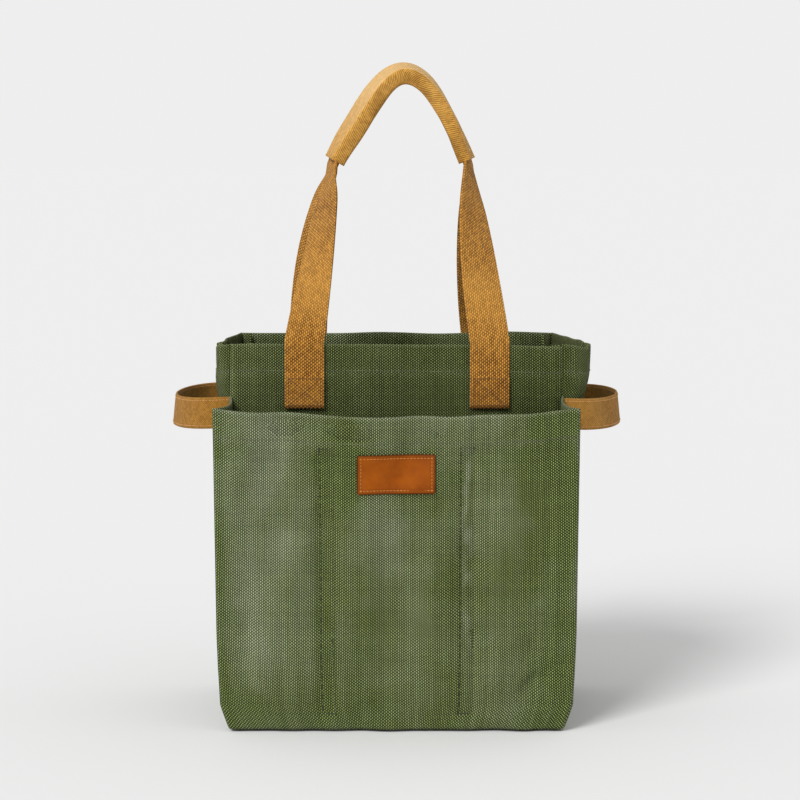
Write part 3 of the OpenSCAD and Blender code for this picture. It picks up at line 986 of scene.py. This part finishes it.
loopLook = {
    "thick": 0.0026,
    "height": loopHigh.z - loopLow.z,
    "reach": loopHigh.x - halfW,
    "sag": 0.002,
    "root": 0.0055,  # how far it stands off its seams before it turns
    "lean": 0.10,
    "stitchIn": 0.0028,  # its stitching, from its edges
}


def loopPath(side):
    # an oval from the front seam round to the back seam, pinched a little at its outer end
    depth = bodyDepth / 2
    rows = []
    for a in np.linspace(-math.pi / 2, math.pi / 2, 90):
        reach = loopLook["reach"] - loopLook["thick"] / 2
        x = halfW + loopLook["root"] + (reach - loopLook["root"]) * math.cos(a) ** 0.96
        y = handleY + (depth - loopLook["thick"] / 2 - 0.0006) * math.sin(a)
        zc = (loopLow.z + loopHigh.z) / 2 + 0.0012 * math.sin(2 * a + 0.6 * side)
        rows.append((side * x, y, zc - loopLook["sag"] * math.cos(a) * 0.5))
    # both ends run straight in to their seams
    inward = [side * (halfW - 0.001 + loopLook["root"] * share) for share in (0.0, 0.35, 0.7)]
    return [(x, *rows[0][1:]) for x in inward] + rows + [(x, *rows[-1][1:]) for x in reversed(inward)]


def loopLean(side, count):
    # how far the loop leans from upright, from its front end round to its back end
    return [-loopLook["lean"] * math.cos(a) * side for a in np.linspace(-math.pi / 2, math.pi / 2, count)]


loops = {}
for side, word in bothSides:
    rows = loopPath(side)
    tilt = [(lean, 0.0, 1.0) for lean in loopLean(side, len(rows))]
    # darker overall, with painted shade in the crease at each loop's outer tip
    wearAndPaintedLight = [0.62 + 0.30 * float(bump(i / (len(rows) - 1), 0.5, 0.02)) for i in range(len(rows))]
    loops[side], flatLoop = ribbon(
        word + "_side_loop", rows, tilt, loopLook["height"], loopLook["thick"], twill, wearAndPaintedLight)
print("side loops made")


patchLook = {"corner": 0.0025, "edge": 0.0005, "inset": 0.0035}


def patchPiece():
    thick = patchHigh.y - patchLow.y
    cols, rows = 74, 38
    xs, zs = np.linspace(-1, 1, cols), np.linspace(-1, 1, rows)
    gx, gz = np.meshgrid(xs, zs)
    r = patchLook["corner"]
    x, z = gx * patchW / 2, gz * patchH / 2
    # pull the four corners in to a small round
    cx, cz = np.abs(x) - (patchW / 2 - r), np.abs(z) - (patchH / 2 - r)
    outside = (cx > 0) & (cz > 0)
    far = np.hypot(np.maximum(cx, 0), np.maximum(cz, 0)) + 1e-9
    square = np.maximum(cx, cz)
    k = np.where(outside, square / far, 1)
    x = np.where(outside, np.sign(x) * (patchW / 2 - r + cx * k), x)
    z = np.where(outside, np.sign(z) * (patchH / 2 - r + cz * k), z)
    rim = np.minimum(patchW / 2 - np.abs(x), patchH / 2 - np.abs(z))
    base = pocketSurface(x, z + patchZ + pocketSag * 0.9)
    lift = thick * (0.55 + 0.45 * np.sqrt(np.clip(rim / 0.0012, 0, 1)))
    groove = 0.00045 * bump(rim, patchLook["inset"], 0.0009)
    wave = 0.0004 * softNoise(x, z, 0.03, 95)
    y = base[..., 1] - 0.0002 - lift + groove + wave
    top = np.stack([x, y, z + patchZ], -1)
    under = np.stack([x, base[..., 1] - 0.0001 + 0 * y, z + patchZ], -1)
    points = np.concatenate([top.reshape(-1, 3), under.reshape(-1, 3)])
    faces = gridFaces(rows, cols)
    count = rows * cols
    faces += [tuple(count + i for i in reversed(f)) for f in faces]
    edge = ([(0, c) for c in range(cols)] + [(q, cols - 1) for q in range(1, rows)]
            + [(rows - 1, c) for c in range(cols - 2, -1, -1)] + [(q, 0) for q in range(rows - 2, 0, -1)])
    ring = [q * cols + c for q, c in edge]
    for i, a in enumerate(ring):
        b = ring[(i + 1) % len(ring)]
        faces.append((a, count + a, count + b, b))
    uvs = np.concatenate([np.stack([x, z], -1).reshape(-1, 2)] * 2)
    wornAndShaded = np.clip(bump(rim, 0, 0.0014) + bump(rim, patchLook["inset"], 0.0016) * 0.15, 0, 1)
    wearAndPaintedLight = np.concatenate([wornAndShaded.ravel(), np.ones(count)])
    piece = meshPiece("patch", points, faces, uvs, leather, wearAndPaintedLight)
    return faceOutwards(piece)


patch = patchPiece()
print("patch made")


def stitchTree():
    # lays one thread stitch at each step along every curve it is given
    tree = bpy.data.node_groups.new("stitch rows", "GeometryNodeTree")
    face = tree.interface
    face.new_socket("Geometry", in_out="INPUT", socket_type="NodeSocketGeometry")
    for label, value in (("Step", 0.0036), ("Stitch length", 0.0027), ("Thread radius", 0.0004)):
        socket = face.new_socket(label, in_out="INPUT", socket_type="NodeSocketFloat")
        socket.default_value = value
    face.new_socket("Seed", in_out="INPUT", socket_type="NodeSocketInt")
    face.new_socket("Thread", in_out="INPUT", socket_type="NodeSocketMaterial")
    face.new_socket("Geometry", in_out="OUTPUT", socket_type="NodeSocketGeometry")

    def node(kind, **settings):
        made = tree.nodes.new(kind)
        for key, value in settings.items():
            setattr(made, key, value)
        return made

    def join(a, b):
        tree.links.new(a, b)

    entry, leave = node("NodeGroupInput"), node("NodeGroupOutput")
    toPoints = node("GeometryNodeCurveToPoints", mode="LENGTH")
    join(entry.outputs["Geometry"], toPoints.inputs["Curve"])
    join(entry.outputs["Step"], toPoints.inputs["Length"])
    stitch = node("GeometryNodeMeshUVSphere")
    stitch.inputs["Segments"].default_value = 6
    stitch.inputs["Rings"].default_value = 5
    join(entry.outputs["Thread radius"], stitch.inputs["Radius"])
    ratio = node("ShaderNodeMath", operation="DIVIDE")
    join(entry.outputs["Stitch length"], ratio.inputs[0])
    double = node("ShaderNodeMath", operation="MULTIPLY")
    double.inputs[1].default_value = 2.0
    join(entry.outputs["Thread radius"], double.inputs[0])
    join(double.outputs[0], ratio.inputs[1])
    vary = node("FunctionNodeRandomValue", data_type="FLOAT")
    vary.inputs[2].default_value = 0.88
    vary.inputs[3].default_value = 1.12
    join(entry.outputs["Seed"], vary.inputs["Seed"])
    long = node("ShaderNodeMath", operation="MULTIPLY")
    join(ratio.outputs[0], long.inputs[0])
    join(vary.outputs[1], long.inputs[1])
    scale = node("ShaderNodeCombineXYZ")
    scale.inputs[0].default_value = 1.0
    scale.inputs[1].default_value = 1.0
    join(long.outputs[0], scale.inputs[2])
    align = node("FunctionNodeAlignRotationToVector", axis="Z")
    join(toPoints.outputs["Tangent"], align.inputs["Vector"])
    place = node("GeometryNodeInstanceOnPoints")
    join(toPoints.outputs["Points"], place.inputs["Points"])
    join(stitch.outputs["Mesh"], place.inputs["Instance"])
    join(align.outputs[0], place.inputs["Rotation"])
    join(scale.outputs[0], place.inputs["Scale"])
    real = node("GeometryNodeRealizeInstances")
    join(place.outputs[0], real.inputs[0])
    paint = node("GeometryNodeSetMaterial")
    join(real.outputs[0], paint.inputs["Geometry"])
    join(entry.outputs["Thread"], paint.inputs["Material"])
    join(paint.outputs[0], leave.inputs[0])
    return tree


stitches = stitchTree()


def stitchPiece(name, runs, material, step=0.0036, length=0.0028, radius=0.00042, seed=1):
    # turns lists of points into one mesh of stitches
    curve = bpy.data.curves.new(name + " path", "CURVE")
    curve.dimensions = "3D"
    for run in runs:
        spline = curve.splines.new("POLY")
        spline.points.add(len(run) - 1)
        for point, place in zip(spline.points, run):
            point.co = (*[float(c) for c in place], 1.0)
    holder = bpy.data.objects.new(name + " path", curve)
    bpy.context.scene.collection.objects.link(holder)
    rows = holder.modifiers.new("stitches", "NODES")
    rows.node_group = stitches
    given = {"Step": step, "Stitch length": length, "Thread radius": radius, "Seed": seed, "Thread": material}
    for socket in stitches.interface.items_tree:
        if socket.in_out == "INPUT" and socket.name in given:
            rows[socket.identifier] = given[socket.name]
    graph = bpy.context.evaluated_depsgraph_get()
    mesh = bpy.data.meshes.new_from_object(holder.evaluated_get(graph), depsgraph=graph)
    mesh.name = name
    if not mesh.materials:
        mesh.materials.append(material)
    mesh.polygons.foreach_set("use_smooth", [True] * len(mesh.polygons))
    piece = bpy.data.objects.new(name, mesh)
    bpy.context.scene.collection.objects.link(piece)
    bpy.data.objects.remove(holder)
    bpy.data.curves.remove(curve)
    return piece


def onSurface(surface, u, z, flip=False, lift=0.0002):
    u, z = np.broadcast_arrays(np.asarray(u, float), np.asarray(z, float))
    side = -1 if flip else 1
    return surface(u, z) + side * normalsOf(surface, u, z) * lift


def hemRun(surface, low, high, rim, flip=False):
    # the row of stitching that holds a hem, just above the hem's raw edge
    return onSurface(surface, spaced(low, high, 0.003), rim - (cloth["hem"] - 0.0015), flip=flip)


edgeIn = 0.004
canvasRuns = [hemRun(frontSurface, -halfW + edgeIn, halfW - edgeIn, rimZ),
              hemRun(backSurface, -halfW + edgeIn, halfW - edgeIn, rimZ, flip=True)]
for side in (-1, 1):
    wide = flatGusset[side][0]
    canvasRuns.append(hemRun(gussetSurface(side), 0.003, wide - 0.003, rimZ, flip=side < 0))
bodyStitches = stitchPiece("body_hem_stitches", canvasRuns, thread, seed=3)

pocketRuns = [hemRun(pocketSurface, -halfP + edgeIn, halfP - edgeIn, pocketZ)]
for side in (-1, 1):
    pocketRuns.append(hemRun(pocketSideSurface(side), 0.002, pocketDepth - 0.002, pocketZ, flip=side < 0))
pocketHem = stitchPiece("pocket_hem_stitches", pocketRuns, thread, seed=4)
pocketRuns = []
topSew, lowSew = dividerHigh.z + pocketSag * 0.5, dividerLow.z + 0.002
for centre in (-dividerX, dividerX):
    heights = spaced(lowSew, topSew, 0.003)
    for s in (-1, 1):
        pocketRuns.append(onSurface(pocketSurface, centre + s * rowHalf, heights))
    bar = spaced(centre - rowHalf, centre + rowHalf, 0.002)
    for z in (lowSew, topSew):
        pocketRuns.append(onSurface(pocketSurface, bar, z))
pocketStitches = stitchPiece("divider_stitches", pocketRuns, rowThread, radius=0.00054, seed=5)

patchRuns = []
insetX, insetZ = patchW / 2 - patchLook["inset"], patchH / 2 - patchLook["inset"]
patchRows = [(-insetX, -insetZ, insetX, -insetZ), (insetX, -insetZ, insetX, insetZ),
             (insetX, insetZ, -insetX, insetZ), (-insetX, insetZ, -insetX, -insetZ)]
for x0, z0, x1, z1 in patchRows:
    t = np.linspace(0, 1, 30)
    px, pz = x0 + (x1 - x0) * t, z0 + (z1 - z0) * t
    face = pocketSurface(px, pz + patchZ + pocketSag * 0.9)[:, 1] - (patchHigh.y - patchLow.y) + 0.0002
    patchRuns.append(np.stack([px, face - 0.0005, pz + patchZ], -1))
patchStitches = stitchPiece(
    "patch_stitches", patchRuns, patchThread, step=0.0031, length=0.0025, radius=0.00038, seed=7)


def boxRuns(which, side):
    # the sewn box and its cross, on a strap's end
    face, sign = strapFaces[which]
    x0 = strapLook["footX"][which][side]
    w, low, high = strapLook["width"] / 2 - 0.004, endLow.z + 0.003, endLow.z + 0.0285
    corners = [(-w, low), (w, low), (w, high), (-w, high), (-w, low), (w, high)]
    lines = list(zip(corners[:-1], corners[1:])) + [((-w, high), (w, low))]
    runs = []
    for (xa, za), (xb, zb) in lines:
        t = np.linspace(0, 1, 14)
        xs, zs = x0 + xa + (xb - xa) * t, za + (zb - za) * t
        ys = face(np.full(t.shape, x0), zs)[:, 1] + sign * (strapLook["thick"] + 0.0022)
        runs.append(np.stack([xs, ys, zs], -1))
    return runs


strapRuns = [run for which in ("front", "back") for side in (-1, 1) for run in boxRuns(which, side)]
strapStitches = stitchPiece(
    "strap_box_stitches", strapRuns, boxThread, step=0.0032, length=0.0026, radius=0.0004, seed=9)

loopStitches = {}
for side, word in bothSides:
    path = np.array(loopPath(side))
    runs = []
    for level in (-1, 1):
        offset = np.array([0, 0, level * (loopLook["height"] / 2 - loopLook["stitchIn"])])
        centre = np.array([side * halfW, handleY, 0])
        away = (path - centre) * np.array([1 / loopLook["reach"] ** 2, 1 / (bodyDepth / 2) ** 2, 0])
        away /= np.linalg.norm(away, axis=1, keepdims=True)
        lean = np.array([(a, 0, 0) for a in loopLean(side, len(path))])
        for out in (1, -1):
            runs.append(path + offset + lean * offset[2] + out * away * (loopLook["thick"] / 2 + 0.0001))
    loopStitches[side] = stitchPiece(
        word + "_loop_stitches", runs, tanThread, step=0.0034, length=0.0028, radius=0.00036, seed=11)

wrapRuns = []
for over in (0.0045, 0.0085):
    run = []
    for where in np.linspace(0.02, 0.98, 120):
        centre, o, d = wrapFrame(where)
        under = wrapLook["thick"] / 2 * wrapSlim(where) + wrapLook["lap"] + 0.0001
        run.append(centre + d * (wrapLook["lapAt"] - over) - o * under)
    wrapRuns.append(run)
wrapStitches = stitchPiece(
    "wrap_stitches", wrapRuns, tanThread, step=0.0034, length=0.0026, radius=0.0003, seed=13)
print("stitching made")


for piece, nodes, kind, flat, held in (
    (bodyFront, ["body_front_panel"], "canvas", flatFront, "stretched"),
    (bodyBack, ["body_back_panel"], "canvas", flatBack, "stretched"),
    (gussets[1], ["right_gusset"], "canvas", flatGusset[1], "stretched"),
    (gussets[-1], ["left_gusset"], "canvas", flatGusset[-1], "stretched"),
    (pocketFront, ["pocket_front_panel"], "canvas", flatPocket, "stretched"),
    (pocketSides[1], ["pocket_right_gusset"], "canvas", flatPocketSide, "stretched"),
    (pocketSides[-1], ["pocket_left_gusset"], "canvas", flatPocketSide, "stretched"),
    (bottom, ["bottom_panel"], "canvas", flatBottom, "laid"),
    (pocketFloor, ["pocket_bottom"], "canvas", flatPocketFloor, "laid"),
    (dividers[1], ["right_divider"], "canvas", flatDivider, "stretched"),
    (dividers[-1], ["left_divider"], "canvas", flatDivider, "stretched"),
    (seams, [], "canvas", (4 * cloth["allowance"], rimZ), "stretched"),
):
    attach(piece, "bag")
    if nodes:
        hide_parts(*nodes)

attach(patch, "bag")
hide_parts("leather_patch")

for which, piece in straps.items():
    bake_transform(piece)
    names = [f"{which}_strap_{side}_{part}" for side in ("left", "right") for part in ("end", "leg")]
    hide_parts(*names, which + "_strap_top")

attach(wrap, "handles")
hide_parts("handle_wrap")
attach(wrapStitches, "handles")

for side, word in bothSides:
    for piece in (loops[side], loopStitches[side]):
        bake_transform(piece)
    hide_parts(word + "_loop", word + "_loop_front_end", word + "_loop_back_end")

for piece, kind in ((bodyStitches, "thread"), (pocketStitches, "thread"), (pocketHem, "thread"),
                    (patchStitches, "tan_thread"), (strapStitches, "tan_thread")):
    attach(piece, "bag")
print("pieces ride on their bodies")


studio = {
    "paper": 0.856,  # brightness of the backdrop
    "floor": 0.858,
    "sky": 0.61,
    "sunShare": 0.39,
    "sunFrom": (-0.250, -0.409, 0.361),
    "sunSoft": math.radians(22),
}


def studioFloor():
    mesh = bpy.data.meshes.new("floor")
    bm = bmesh.new()
    bmesh.ops.create_circle(bm, cap_ends=True, segments=96, radius=70.0)
    bm.to_mesh(mesh)
    bm.free()
    floor = bpy.data.objects.new("floor", mesh)
    bpy.context.scene.collection.objects.link(floor)
    floor.location.z = -0.0002
    t = Tree("studio paper")
    t.shader.inputs["Base Color"].default_value = (studio["floor"],) * 3 + (1.0,)
    t.shader.inputs["Roughness"].default_value = 1.0
    t.shader.inputs["Specular IOR Level"].default_value = 0.0
    mesh.materials.append(t.material)


def studioLight():
    world = bpy.data.worlds.new("studio")
    bpy.context.scene.world = world
    world.use_nodes = True
    tree = world.node_tree
    tree.nodes.clear()
    out = tree.nodes.new("ShaderNodeOutputWorld")
    mix = tree.nodes.new("ShaderNodeMixShader")
    path = tree.nodes.new("ShaderNodeLightPath")
    sky = tree.nodes.new("ShaderNodeBackground")
    seen = tree.nodes.new("ShaderNodeBackground")
    sky.inputs["Color"].default_value = (1, 1, 1, 1)
    sky.inputs["Strength"].default_value = studio["sky"]
    seen.inputs["Color"].default_value = (studio["paper"],) * 3 + (1.0,)
    seen.inputs["Strength"].default_value = 1.0
    tree.links.new(path.outputs["Is Camera Ray"], mix.inputs[0])
    tree.links.new(sky.outputs[0], mix.inputs[1])
    tree.links.new(seen.outputs[0], mix.inputs[2])
    tree.links.new(mix.outputs[0], out.inputs[0])
    lamp = bpy.data.lights.new("window", "SUN")
    toward = Vector(studio["sunFrom"]).normalized()
    lamp.energy = studio["sunShare"] * math.pi / toward.z
    lamp.angle = studio["sunSoft"]
    sun = bpy.data.objects.new("window", lamp)
    sun.rotation_euler = toward.to_track_quat("Z", "Y").to_euler()
    bpy.context.scene.collection.objects.link(sun)


view = {
    "distance": 2.48,  # from the front panel
    "height": rimZ + 0.184,
    "tilt": math.radians(5.465),
    "lens": 117.8,
    "aside": 0.0033,
}


def studioCamera():
    data = bpy.data.cameras.new("camera")
    data.sensor_width = 36.0
    data.lens = view["lens"]
    data.clip_end = 100.0
    camera = bpy.data.objects.new("camera", data)
    camera.location = (view["aside"], frontY - view["distance"], view["height"])
    camera.rotation_euler = (math.pi / 2 - view["tilt"], 0, 0)
    bpy.context.scene.collection.objects.link(camera)
    bpy.context.scene.camera = camera
    bpy.context.scene.view_settings.view_transform = "Standard"


studioFloor()
studioLight()
studioCamera()
print("floor, light and camera set")
